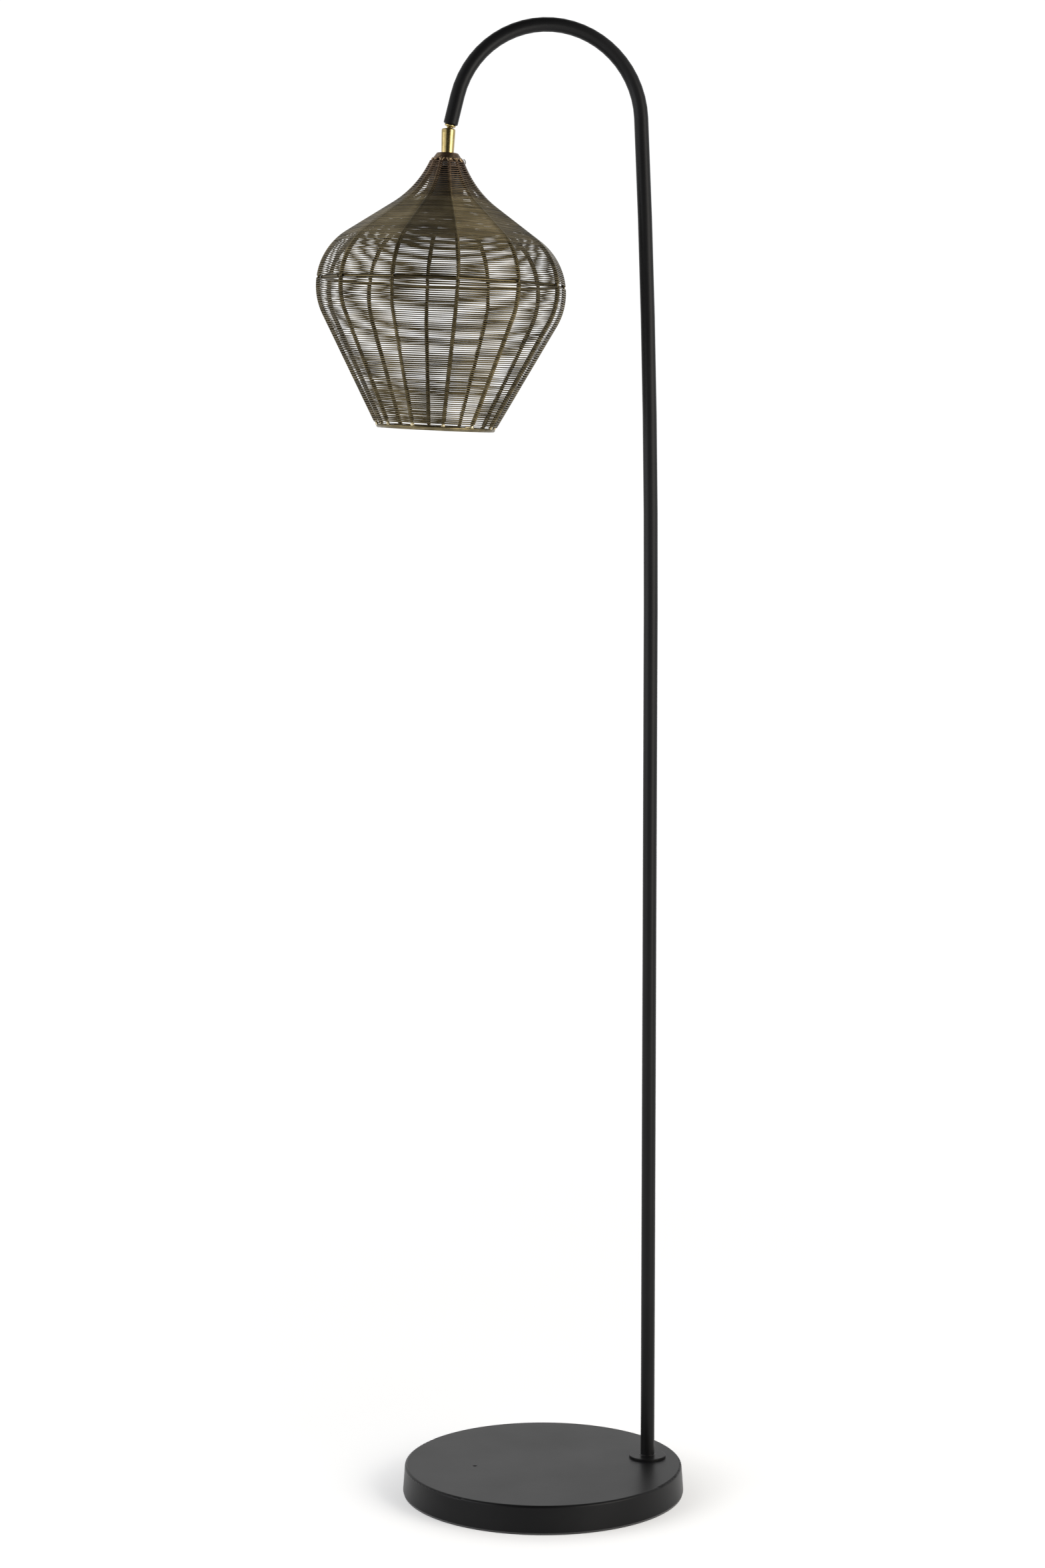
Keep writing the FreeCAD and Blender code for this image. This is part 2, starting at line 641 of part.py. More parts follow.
skirt_wall_in = holder_r - holder_wall
holder_skirt = disc(holder_r, holder_foot, holder_dome_low - fit_gap).cut(
    disc(skirt_wall_in, holder_foot - 1, holder_dome_low + 1))
lip = disc(skirt_wall_in + fit_gap, holder_foot, holder_foot + holder_wall).cut(
    disc(holder_screw_r + holder_screw_wall, holder_foot - 1, holder_foot + holder_wall + 1))
save("holder_skirt", in_shade(holder_skirt.fuse(lip).removeSplitter()))

insert_low = -holder_top - holder_screw_drop
contact_top = insert_low + contact_thick          # the contact lies flush in the insert
insert = disc(skirt_wall_in - fit_gap, insert_low, insert_low + insert_thick).cut(
    disc(contact_r + fit_gap, insert_low - 1, contact_top))
save("holder_insert", in_shade(insert))
shell_foot = holder_foot + holder_wall + screw_shell_gap
screw_shell = disc(holder_screw_r + holder_screw_wall, shell_foot, insert_low).cut(
    disc(holder_screw_r, holder_foot, insert_low + 1))
save("holder_screw_shell", in_shade(screw_shell))
save("centre_contact", in_shade(disc(contact_r, insert_low, contact_top)))

shade_lead = disc(lead_r, insert_low + insert_thick, -cup_deep + 1)
save("shade_lead", in_shade(shade_lead))

print("ball centre %.3f %.3f, arm tip %.3f %.3f, arm lean %.3f, top of the arch %.1f"
      % (ball_centre.x, ball_centre.z, tip_end.x, tip_end.z, arm_lean, pole.BoundBox.ZMax))
print("foot ring at radius %.2f depth %.2f, widest rib radius %.2f"
      % (foot_ring_place + (along_rib(neck_bend_long + shoulder_run
                                      + belly_radius * math.radians(shoulder_angle))[0],)))
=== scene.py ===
# %% [markdown]
# # A wire cage floor lamp
# This lamp is a black bent tube on a round base, with a brass ball joint at its end and a cage of
# twelve rods that one long bronze wire is wound round. The construction model comes in first and
# stays where it is, and it sets the size of everything. What is added here is what the eye looks
# for: the real winding and its two ends, the brazing, solder and weld, and the finish of every
# surface. All lengths are in metres and every piece is drawn where it belongs, so nothing has to be
# moved into place later.

# %% Load the construction model
import json
import math

import bpy
import numpy as np
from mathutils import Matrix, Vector


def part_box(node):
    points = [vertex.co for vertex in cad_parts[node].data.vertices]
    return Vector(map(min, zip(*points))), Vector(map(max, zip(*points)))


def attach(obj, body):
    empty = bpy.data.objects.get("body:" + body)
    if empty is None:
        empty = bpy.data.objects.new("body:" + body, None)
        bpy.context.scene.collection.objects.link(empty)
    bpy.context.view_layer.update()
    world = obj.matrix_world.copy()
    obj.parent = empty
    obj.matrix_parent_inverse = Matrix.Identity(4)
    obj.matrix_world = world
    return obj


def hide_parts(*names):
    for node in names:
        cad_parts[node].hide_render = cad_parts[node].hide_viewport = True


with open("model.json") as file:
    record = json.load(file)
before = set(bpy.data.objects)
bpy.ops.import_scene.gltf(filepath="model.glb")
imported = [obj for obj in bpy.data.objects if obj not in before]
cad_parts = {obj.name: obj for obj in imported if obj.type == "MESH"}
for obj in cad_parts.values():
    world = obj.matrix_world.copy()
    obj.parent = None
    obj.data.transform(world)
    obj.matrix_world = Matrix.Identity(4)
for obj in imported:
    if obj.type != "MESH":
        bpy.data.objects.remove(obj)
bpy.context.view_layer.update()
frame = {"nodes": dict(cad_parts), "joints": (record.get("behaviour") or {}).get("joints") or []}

MM = 0.001

# %% [markdown]
# ## The camera
# A photograph is matched by putting a camera where the photographer stood. The lens could be set
# by eye, but a fit is better: the round base shows as an ellipse, and its height against its width
# gives the camera's height, while the lamp's sizes give the distance. Blender's focal length
# belongs to a 36 mm sensor along the long side of the picture, so the fitted focal length in
# pixels is scaled by 36 over the picture's height.

# %% Place the camera
IMAGE_HIGH = 2352                  # pixels, the long side of the picture
FOCAL_PIXELS = 4953.2
SENSOR = 36.0
CAMERA_AT = Vector((-0.69785, -3.65356, 1.19764))
CAMERA_TURN = math.radians(10.446)     # to the right of +Y
CAMERA_DIP = math.radians(5.785)       # below the horizon

camera_data = bpy.data.cameras.new("photo_camera")
camera_data.sensor_width = SENSOR
camera_data.lens = SENSOR * FOCAL_PIXELS / IMAGE_HIGH
camera = bpy.data.objects.new("photo_camera", camera_data)
looking = Vector((math.sin(CAMERA_TURN) * math.cos(CAMERA_DIP),
                  math.cos(CAMERA_TURN) * math.cos(CAMERA_DIP), -math.sin(CAMERA_DIP)))
camera.location = CAMERA_AT
camera.rotation_euler = looking.to_track_quat("-Z", "Y").to_euler()
bpy.context.scene.collection.objects.link(camera)
bpy.context.scene.camera = camera
print("lens", round(camera_data.lens, 1), "mm")

# %% [markdown]
# ## Node helpers
# A finish is a small net of nodes. The same few steps come back in each one: read the place on the
# piece, turn it into a cloudy pattern, and let the pattern change a colour, a roughness or the
# height of the surface. Each step is a short function here, so a finish below reads as a recipe.
# The place is always the Object coordinate, which does not slide when the lamp is turned or baked.

# %% Node helpers
def new_finish(name, **constants):
    """A material with one Principled shader. Constants go straight onto the shader's own sockets."""
    material = bpy.data.materials.new(name)
    material.use_nodes = True
    shader = material.node_tree.nodes["Principled BSDF"]
    for socket, value in constants.items():
        shader.inputs[socket.replace("_", " ")].default_value = value
    return material


def node(material, kind, **settings):
    """A new node of a kind, with its settings."""
    made = material.node_tree.nodes.new(kind)
    for name, value in settings.items():
        setattr(made, name, value)
    return made


def join(material, output, socket):
    """Link an output to a socket, or to a named socket of the material's shader."""
    if isinstance(socket, str):
        socket = material.node_tree.nodes["Principled BSDF"].inputs[socket]
    material.node_tree.links.new(output, socket)


def place(material, centre=(0, 0, 0), turn=(0, 0, 0), size=(1, 1, 1)):
    """The Object coordinate, seen from a frame with its own centre, turn and unit sizes."""
    coordinate = node(material, "ShaderNodeTexCoord")
    mapping = node(material, "ShaderNodeMapping", vector_type="TEXTURE")
    mapping.inputs["Location"].default_value = centre
    mapping.inputs["Rotation"].default_value = turn
    mapping.inputs["Scale"].default_value = size
    join(material, coordinate.outputs["Object"], mapping.inputs["Vector"])
    return mapping.outputs["Vector"]


def distance(material, at):
    """How far a place is from the centre of its frame."""
    length = node(material, "ShaderNodeVectorMath", operation="LENGTH")
    join(material, at, length.inputs[0])
    return length.outputs["Value"]


def cloud(material, at, size, detail=3.0):
    """A cloudy pattern from 0 to 1 whose patches are about this size, in metres."""
    pattern = node(material, "ShaderNodeTexNoise")
    pattern.inputs["Scale"].default_value = 1 / size
    pattern.inputs["Detail"].default_value = detail
    join(material, at, pattern.inputs["Vector"])
    return pattern.outputs["Fac"]


def spread(material, pattern, low, high, start=0.3, end=0.7):
    """Stretch the middle of a pattern over a range of values."""
    ranged = node(material, "ShaderNodeMapRange")
    ranged.inputs["From Min"].default_value = start
    ranged.inputs["From Max"].default_value = end
    ranged.inputs["To Min"].default_value = low
    ranged.inputs["To Max"].default_value = high
    join(material, pattern, ranged.inputs["Value"])
    return ranged.outputs["Result"]


def blend_colours(material, pattern, *stops):
    """A colour from a ramp of (position, (red, green, blue)) stops."""
    ramp = node(material, "ShaderNodeValToRGB")
    elements = ramp.color_ramp.elements
    while len(elements) < len(stops):
        elements.new(0.5)
    for element, (position, colour) in zip(elements, stops):
        element.position = position
        element.color = (*colour, 1)
    join(material, pattern, ramp.inputs["Fac"])
    return ramp.outputs["Color"]


def mix_colours(material, share, first, second):
    """The first colour where the share is 0 and the second where it is 1. A Mix node has a pair of
    sockets for each kind of value, and numbers 6 and 7 are its colours."""
    mixed = node(material, "ShaderNodeMix", data_type="RGBA")
    join(material, share, mixed.inputs["Factor"])
    join(material, first, mixed.inputs[6])
    join(material, second, mixed.inputs[7])
    return mixed.outputs[2]


def relief(material, pattern, height, strength=1.0, under=None):
    """Tilt the surface as if the pattern rose this high, in metres, over a first relief if given."""
    bump = node(material, "ShaderNodeBump")
    bump.inputs["Distance"].default_value = height
    bump.inputs["Strength"].default_value = strength
    join(material, pattern, bump.inputs["Height"])
    if under is not None:
        join(material, under, bump.inputs["Normal"])
    return bump.outputs["Normal"]


# %% [markdown]
# ## Powder coat
# The base and the tube are sprayed with a dry paint that melts in an oven. Close to, it has a
# very fine orange-peel grain, and its sheen drifts a little where hands and boxes have rubbed it.
# A plain dark colour would look like a hole in the picture, so two patterns do the work: a broad
# one that moves the roughness, and a fine one that roughens the surface itself. Its gloss is set low,
# which keeps it near black from the front and greyer at a glancing angle. The small dent in the
# base's top is in the construction model, and a relief about its centre shades it more strongly.

# %% Powder coat
DENT_X = -80 * MM                          # the small dent in the base's top
DENT_R = 3.2 * MM


def powder_coat():
    """Near black paint with a broad drift of sheen, a fine grain, and the shading of the dent."""
    paint = new_finish("matt_black_coat", Metallic=0.0, IOR=1.5, Specular_IOR_Level=0.13)
    at = place(paint)
    broad = cloud(paint, at, 90 * MM, 3)
    fine = cloud(paint, at, 0.9 * MM, 2)
    blacks = blend_colours(paint, broad, (0.35, (0.005, 0.005, 0.0054)), (0.65, (0.007, 0.007, 0.0074)))
    join(paint, blacks, "Base Color")
    join(paint, spread(paint, broad, 0.34, 0.39), "Roughness")
    peel = relief(paint, cloud(paint, at, 4 * MM, 2), 0.05 * MM, 0.4)
    dent_place = place(paint, (DENT_X, 0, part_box("base_cover")[1][2]))
    dent = relief(paint, spread(paint, distance(paint, dent_place), 0, 1, 0, DENT_R), 0.9 * MM, 1.0, peel)
    join(paint, relief(paint, fine, 0.03 * MM, 0.6, dent), "Normal")
    return paint


# %% [markdown]
# ## Brass, bronze and the other metals
# Metals show what is round them more than they show a colour of their own, so their look is
# mostly roughness. Satin brass is rubbed round and round on a lathe, which leaves fine rings, so
# its pattern is squeezed along the joint's axis, and a thin coat of lacquer lies over it. The cage is
# steel with an antique bronze plating: dark, a little brown, not even from one turn of wire to the
# next, and reddened near the cap, where it was hot while the rods were brazed.

# %% Where the shade hangs
joint_at = {joint["name"]: joint for joint in frame["joints"]}
BALL = np.array(joint_at["shade_spin"]["pos_m"])
down = joint_at["shade_spin"]["axis"]
LEAN = math.atan2(-down[0], -down[2])
print("ball centre", BALL, "lean", round(math.degrees(LEAN), 2), "degrees")


def shade_place(material, size=(1, 1, 1)):
    """The Object coordinate in the shade's own frame, with z along its axis."""
    return place(material, tuple(BALL), (0, LEAN, 0), size)


# %% Brass and bronze
def satin_brass():
    """Lathe-turned brass under lacquer, with faint rings round it and a slight stain."""
    brass = new_finish("satin_brass", Metallic=1.0, Coat_Weight=0.3, Coat_Roughness=0.12)
    rings = cloud(brass, shade_place(brass, (40, 40, 1)), 0.25 * MM, 3)
    stain = cloud(brass, shade_place(brass), 6 * MM, 3)
    golds = blend_colours(brass, stain, (0.3, (0.33, 0.25, 0.095)), (0.7, (0.44, 0.345, 0.15)))
    join(brass, golds, "Base Color")
    join(brass, spread(brass, rings, 0.15, 0.22), "Roughness")
    join(brass, relief(brass, rings, 0.003 * MM, 0.5), "Normal")
    return brass


RED_FROM = -78 * MM                        # heights from the ball along the shade's axis, between
RED_FULL = -38 * MM                        # which the wire turns red


def bronze_wire():
    """Antique plating whose tone is the sum of a pattern by rows and one by patches."""
    bronze = new_finish("antique_bronze_wire", Metallic=1.0)
    rows = cloud(bronze, shade_place(bronze, (60, 60, 1)), 3 * MM, 2)
    stain = cloud(bronze, shade_place(bronze), 25 * MM, 4)
    summed = node(bronze, "ShaderNodeMath", operation="ADD")
    join(bronze, rows, summed.inputs[0])
    join(bronze, stain, summed.inputs[1])
    tone = spread(bronze, summed.outputs["Value"], 0, 1, 0.75, 1.25)
    plain = blend_colours(bronze, tone, (0.0, (0.061, 0.048, 0.025)), (0.55, (0.107, 0.085, 0.044)),
                          (1.0, (0.168, 0.136, 0.077)))
    reddened = blend_colours(bronze, tone, (0.0, (0.065, 0.040, 0.026)), (1.0, (0.165, 0.115, 0.078)))
    height = node(bronze, "ShaderNodeSeparateXYZ")
    join(bronze, shade_place(bronze), height.inputs[0])
    heated = spread(bronze, height.outputs["Z"], 0, 1, RED_FROM, RED_FULL)
    join(bronze, mix_colours(bronze, heated, plain, reddened), "Base Color")
    join(bronze, spread(bronze, stain, 0.34, 0.46), "Roughness")
    pits = cloud(bronze, shade_place(bronze), 0.5 * MM, 2)
    join(bronze, relief(bronze, pits, 0.02 * MM, 0.4), "Normal")
    return bronze


def bronze_ring():
    """The foot ring's plating, lighter and glossier in patches."""
    bronze = new_finish("bronze_ring", Metallic=1.0)
    stain = cloud(bronze, shade_place(bronze), 9 * MM, 4)
    browns = blend_colours(bronze, stain, (0.3, (0.085, 0.068, 0.036)), (0.7, (0.17, 0.138, 0.072)))
    join(bronze, browns, "Base Color")
    join(bronze, spread(bronze, stain, 0.42, 0.28), "Roughness")
    pits = cloud(bronze, shade_place(bronze), 0.8 * MM, 3)
    join(bronze, relief(bronze, pits, 0.03 * MM, 0.5), "Normal")
    return bronze


def bronze_sheet():
    """The cap's sheet, clouded by the heat of brazing."""
    bronze = new_finish("bronze_sheet", Metallic=1.0)
    heat = cloud(bronze, shade_place(bronze), 4 * MM, 4)
    browns = blend_colours(bronze, heat, (0.3, (0.07, 0.043, 0.028)), (0.55, (0.16, 0.107, 0.066)),
                           (0.75, (0.30, 0.225, 0.135)))
    join(bronze, browns, "Base Color")
    join(bronze, spread(bronze, heat, 0.50, 0.34), "Roughness")
    pits = cloud(bronze, shade_place(bronze), 1.2 * MM, 3)
    join(bronze, relief(bronze, pits, 0.08 * MM, 0.6), "Normal")
    return bronze


def braze(name, dark, bright):
    """Bare brazing metal, which has run and frozen, brighter in patches than what it joins."""
    brass = new_finish(name, Metallic=1.0)
    flow = cloud(brass, shade_place(brass), 1.5 * MM, 3)
    join(brass, blend_colours(brass, flow, (0.42, dark), (0.66, bright)), "Base Color")
    join(brass, spread(brass, flow, 0.52, 0.34), "Roughness")
    join(brass, relief(brass, flow, 0.2 * MM, 0.6), "Normal")
    return brass


# %% Steel and iron
def plated_steel(name, colour, roughness):
    """Zinc, nickel and bright spring steel are one recipe: a mottled crystal bloom over a metal."""
    steel = new_finish(name, Metallic=1.0)
    bloom = cloud(steel, place(steel), 5 * MM, 5)
    dull = tuple(0.8 * c for c in colour)
    join(steel, blend_colours(steel, bloom, (0.35, dull), (0.65, colour)), "Base Color")
    join(steel, spread(steel, bloom, roughness + 0.08, roughness - 0.05), "Roughness")
    join(steel, relief(steel, cloud(steel, place(steel), 0.6 * MM, 2), 0.01 * MM, 0.5), "Normal")
    return steel


def cast_iron():
    """Iron with the grain of the sand it was cast in and patches of brown."""
    iron = new_finish("cast_iron", Metallic=0.6)
    at = place(iron)
    sand = cloud(iron, at, 1.6 * MM, 4)
    patches = cloud(iron, at, 20 * MM, 4)
    greys = blend_colours(iron, patches, (0.35, (0.05, 0.048, 0.046)), (0.65, (0.10, 0.085, 0.075)))
    join(iron, greys, "Base Color")
    join(iron, spread(iron, sand, 0.65, 0.85), "Roughness")
    join(iron, relief(iron, sand, 0.4 * MM, 0.8), "Normal")
    return iron


# %% [markdown]
# ## Felt, plastics and porcelain
# The pad under the base is pressed felt: it has no gloss at all, only a fuzz of fibres, so a sheen
# on the shader and a hairy relief do more than its colour. The plastics are moulded, with the faint
# grain of the mould. The porcelain inside the lamp holder is glazed, so a smooth coat lies over a
# slightly uneven body.

# %% Felt, plastics and porcelain
def felt():
    """Black wool with a sheen and a relief of fibres."""
    wool = new_finish("black_felt", Metallic=0.0, Sheen_Weight=0.35, Sheen_Roughness=0.6, Roughness=0.95)
    fibres = cloud(wool, place(wool), 0.5 * MM, 5)
    blacks = blend_colours(wool, fibres, (0.3, (0.012, 0.012, 0.013)), (0.7, (0.035, 0.035, 0.036)))
    join(wool, blacks, "Base Color")
    join(wool, relief(wool, fibres, 0.3 * MM, 0.9), "Normal")
    return wool


def moulded(name, colour, roughness):
    """A moulded plastic with a fine grain, dusty in places."""
    plastic = new_finish(name, Metallic=0.0, IOR=1.49)
    at = place(plastic)
    grain = cloud(plastic, at, 0.4 * MM, 2)
    dusty = tuple(1.15 * c + 0.004 for c in colour)
    shades = blend_colours(plastic, cloud(plastic, at, 12 * MM, 3), (0.35, colour), (0.65, dusty))
    join(plastic, shades, "Base Color")
    join(plastic, spread(plastic, grain, roughness - 0.05, roughness + 0.07), "Roughness")
    join(plastic, relief(plastic, grain, 0.02 * MM, 0.6), "Normal")
    return plastic


def porcelain():
    """Cream porcelain under a smooth glaze."""
    glaze = new_finish("porcelain", Metallic=0.0, Coat_Weight=0.7, Coat_Roughness=0.08)
    body = cloud(glaze, place(glaze), 4 * MM, 4)
    creams = blend_colours(glaze, body, (0.3, (0.74, 0.72, 0.66)), (0.7, (0.84, 0.82, 0.77)))
    join(glaze, creams, "Base Color")
    join(glaze, spread(glaze, body, 0.25, 0.4), "Roughness")
    join(glaze, relief(glaze, body, 0.1 * MM, 0.4), "Normal")
    return glaze


# %% Dress the construction model
finishes = {
    "black_coat": powder_coat(),
    "cast_iron": cast_iron(),
    # The zinc plating is given a dark colour. This is partly painted shade for the fittings that sit in the
    # shade inside the cage.
    "zinc_steel": plated_steel("zinc_darkened_for_cage_shade", (0.15, 0.145, 0.14), 0.42),
    "black_felt": felt(),
    "black_plastic": moulded("black_plastic", (0.02, 0.02, 0.02), 0.42),
    "satin_brass": satin_brass(),
    "lead_sheath": moulded("lead_sheath", (0.55, 0.55, 0.53), 0.45),
    "white_nylon": moulded("white_nylon", (0.72, 0.71, 0.67), 0.4),
    "spring_steel": plated_steel("spring_steel", (0.50, 0.50, 0.50), 0.28),
    "bronze_sheet": bronze_sheet(),
    "bronze_wire": bronze_wire(),
    "bronze_ring": bronze_ring(),
    "porcelain": porcelain(),
    "nickel_brass": plated_steel("nickel_plating", (0.68, 0.64, 0.52), 0.22),
}
for part in frame["nodes"].values():
    for slot in part.material_slots:
        slot.material = finishes[slot.material.name]
print(len(frame["nodes"]), "parts dressed in", len(finishes), "finishes")

# %% [markdown]
# ## Surfaces worked out with arrays
# Every new piece below is a bar or a skin over a grid of points. A bar is made by carrying a ring
# along a path: at each point of the path two directions across it are needed, and a given direction
# that never runs along the path yields them without any twist. The points are worked out as whole
# arrays, because there are about a hundred and seventy thousand of them.

# %% From arrays to meshes
def unit(vectors):
    """Each vector divided by its own length."""
    return vectors / np.linalg.norm(vectors, axis=-1, keepdims=True)


def grid_faces(rows, columns):
    """Four-sided faces between neighbouring points of a grid, whose rows close on themselves."""
    row, column = np.meshgrid(np.arange(rows - 1), np.arange(columns), indexing="ij")
    beside = (column + 1) % columns
    corners = [row * columns + column, row * columns + beside,
               (row + 1) * columns + beside, (row + 1) * columns + column]
    return np.stack(corners, axis=-1).reshape(-1, 4)


def skin(middles, first, second, wide, thick, sides):
    """A skin of oval rings, closed at both ends. Each ring's points are its middle plus its half width
    times the cosine of the angle along the first direction, plus its half thickness times the sine
    along the second."""
    angle = np.arange(sides) * 2 * math.pi / sides
    wide, thick = (np.broadcast_to(size, len(middles))[:, None, None] for size in (wide, thick))
    points = (middles[:, None] + wide * np.cos(angle)[:, None] * first[:, None]
              + thick * np.sin(angle)[:, None] * second[:, None]).reshape(-1, 3)
    faces = grid_faces(len(middles), sides).tolist()
    last = len(points) - sides
    faces += [list(range(sides - 1, -1, -1)), list(range(last, last + sides))]
    return points, faces


def bar(path, across, radius, sides=6):
    """A round bar along a path. The first direction is what is left of a given one when its part along
    the path is taken away, and the second is square to both."""
    path = np.asarray(path)
    along = unit(np.gradient(path, axis=0))
    first = unit(across - (across * along).sum(-1, keepdims=True) * along)
    return skin(path, first, np.cross(along, first), radius, radius, sides)


def piece(name, points, faces, finish, slot, body="shade"):
    """A mesh object from arrays of points and faces, drawn in place, that rides on a body."""
    mesh = bpy.data.meshes.new(name)
    mesh.from_pydata(np.asarray(points).tolist(), [], [list(face) for face in faces])
    mesh.validate()
    mesh.polygons.foreach_set("use_smooth", np.ones(len(mesh.polygons), dtype=bool))
    mesh.materials.append(finish)
    made = bpy.data.objects.new(name, mesh)
    bpy.context.scene.collection.objects.link(made)
    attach(made, body)
    print(name, len(points), "points,", sum(len(face) - 2 for face in faces), "triangles")
    return made


def together(parts):
    """One set of points and faces from several, each numbered after the one before."""
    points, faces, used = [], [], 0
    for own_points, own_faces in parts:
        points.append(own_points)
        faces += [[corner + used for corner in face] for face in own_faces]
        used += len(own_points)
    return np.concatenate(points), faces


# %% [markdown]
# ## The line of a rib
# A rib is a steel rod, and each of the twelve is bent in one plane: a hollow curve under the cap, a
# straight shoulder, a full belly and a long straight skirt. Such a line can be drawn with arcs, but
# it is easier to say how its slope changes: evenly along an arc, and not at all along a straight.
# Adding up the sine of the slope then gives the distance from the axis, and adding up the cosine
# gives the depth.

# %% The line of a rib
RIB_COUNT = 12
RIB_PHASE = math.radians(-1.9)
RIB_R = 1.4 * MM
RIB_TOP_R = 15.73 * MM
RIB_TOP_DEEP = 29.05 * MM
NECK_SLOPE, SHOULDER_SLOPE, SKIRT_SLOPE = np.radians([21.5, 55.9, -28.4])
NECK_BEND_R = 112.4 * MM
SHOULDER_RUN = 60.0 * MM
BELLY_R = 69.3 * MM
SKIRT_RUN = 136.2 * MM
FOOT_RING_R = 1.85 * MM
LINE_POINTS = 8001                         # how finely the rib's line is worked out

bend_ends = np.cumsum([0, NECK_BEND_R * (SHOULDER_SLOPE - NECK_SLOPE), SHOULDER_RUN,
                       BELLY_R * (SHOULDER_SLOPE - SKIRT_SLOPE), SKIRT_RUN])
rib_runs = np.linspace(0, bend_ends[-1], LINE_POINTS)
rib_slopes = np.interp(rib_runs, bend_ends,
                       [NECK_SLOPE, SHOULDER_SLOPE, SHOULDER_SLOPE, SKIRT_SLOPE, SKIRT_SLOPE])
half_step = rib_runs[1] / 2


def added_up(values, start):
    """The running sum of the values' means over each small step of the rib."""
    return start + np.concatenate([[0], np.cumsum((values[1:] + values[:-1]) * half_step)])


rib_radii = added_up(np.sin(rib_slopes), RIB_TOP_R)
rib_depths = added_up(np.cos(rib_slopes), RIB_TOP_DEEP)
RIB_LONG = bend_ends[-1] - FOOT_RING_R
print("rib", round(RIB_LONG / MM, 1), "mm long, foot ring radius", round(rib_radii[-1] / MM, 2), "mm")


def on_rib(run, azimuth):
    """A rib's centre point at a distance from its upper end, with the directions round the shade, out
    of the shade and down the rib, all in the shade's own frame, and the rib's slope there."""
    radius, depth, slope = (np.interp(run, rib_runs, values)
                            for values in (rib_radii, rib_depths, rib_slopes))
    zero = np.zeros_like(radius)
    outward = np.stack([np.cos(azimuth), np.sin(azimuth), zero], -1)
    upward = np.array([0.0, 0.0, 1.0])
    round_it = np.stack([-np.sin(azimuth), np.cos(azimuth), zero], -1)
    sine, cosine = np.sin(slope)[..., None], np.cos(slope)[..., None]
    centre = radius[..., None] * outward - depth[..., None] * upward
    return centre, round_it, cosine * outward + sine * upward, sine * outward - cosine * upward, slope


def hang(points):
    """From the shade's own frame, with the ball at its centre, to where the shade hangs: a turn by the
    lean about the Y axis, then a step to the ball."""
    x, y, z = np.moveaxis(np.asarray(points), -1, 0)
    turned = [x * math.cos(LEAN) + z * math.sin(LEAN), y, z * math.cos(LEAN) - x * math.sin(LEAN)]
    return np.stack(turned, -1) + BALL


def lean(directions):
    """A direction in the shade's own frame as the shade hangs: the turn without the step."""
    return hang(directions) - BALL


# %% [markdown]
# ## The winding
# One wire goes round the cage some hundred and forty times, and at each rod it takes a full turn
# about the rod before it runs on to the next. From outside, each row therefore shows two strands
# across the front of a rod and one across its back. It could be made as a curve with a bevel, but
# here the whole path is one array of points: for each crossing, a few points round the rod and a
# few along the straight run to the next rod. Near and far rows seen through each other draw bands
# that tell of a tenth of a millimetre, so the unevenness of a cage wound by hand matters here: the
# spacing changes down the rods, the rows lie a little askew, the hand drifts and comes back, and
# each run has its own slight bow.

# %% How far apart the rows are
WIRE_R = 0.6 * MM
FIRST_ROW = 3.0 * MM                      # from a rib's upper end
LAST_ROW = 3.2 * MM                       # from its lower end
ROW_AT = np.array([0, 30, 57, 75, 130, 180, 205, 225, 245, 290, 320, 362]) * MM
ROW_PITCH = np.array([2.75, 2.75, 2.5, 2.31, 2.30, 2.36, 2.32, 2.50, 2.50, 2.66, 2.44, 2.42]) * MM
GIRDLE_DEEP = 163.4 * MM
GIRDLE_ROOM = 3.0 * MM                    # what the rows leave free in front of the girdle ring
ROW_STEPS = 4001                          # how finely the rows are counted off along a rib

row_runs = np.linspace(FIRST_ROW, RIB_LONG - LAST_ROW, ROW_STEPS)
rows_each_step = np.diff(row_runs) / np.interp(row_runs[:-1], ROW_AT, ROW_PITCH)
row_numbers = np.concatenate([[0], np.cumsum(rows_each_step)])
girdle_run = np.interp(GIRDLE_DEEP, rib_depths, rib_runs)
squeezed = 1 - GIRDLE_ROOM / np.interp(girdle_run, ROW_AT, ROW_PITCH) / row_numbers[-1]
crossing = np.arange(int(row_numbers[-1] * squeezed * RIB_COUNT))
row_run = np.interp(crossing / RIB_COUNT / squeezed, row_numbers, row_runs)
print("rows", len(crossing) // RIB_COUNT, "crossings", len(crossing))

# %% The rows' own unevenness
ROOM_FADES = 40 * MM                       # over this distance the girdle's shift falls to a third
FREE_AFTER = 12 * MM                       # this far from the ends the rows wander freely
JITTER = 0.04 * MM                         # from one crossing to the next
SLIP = 0.16 * MM                           # a drift of the hand that lasts for some crossings
SLIP_SPAN = 7                              # crossings
WAVE_SIZE = np.array([0.30, 0.18, 0.12, 0.09, 0.08]) * MM
WAVES_ROUND = np.array([0, 2, 2, 4, 3])    # how many times each wave rises on its way round the cage
WAVE_LONG = np.array([75, 60, -45, 38, -52]) * MM
ASKEW_AT = np.array([0, 30, 75, 100, 235, 255, 280, 302, 342, 362]) * MM
ASKEW = np.array([0, 0, 2.3, 2.6, 2.6, 3.0, 3.0, 1.7, 0.8, 0]) * MM
LOW_SIDE = math.radians(-128)
hand = np.random.default_rng(1)
wave_start = hand.uniform(0, 2 * math.pi, len(WAVE_SIZE))


def wander(run, azimuth):
    """How far the rows lie below their even places: the sum of a few long waves that turn round the
    cage and down it, and the askew depth at this run times the cosine of the angle from the low side."""
    turned = WAVES_ROUND * azimuth[:, None] + 2 * math.pi * run[:, None] / WAVE_LONG + wave_start
    askew = np.interp(run, ASKEW_AT, ASKEW) * np.cos(azimuth - LOW_SIDE)
    return (WAVE_SIZE * np.sin(turned)).sum(-1) + askew


azimuth = RIB_PHASE + crossing * 2 * math.pi / RIB_COUNT
below_girdle = row_run > girdle_run
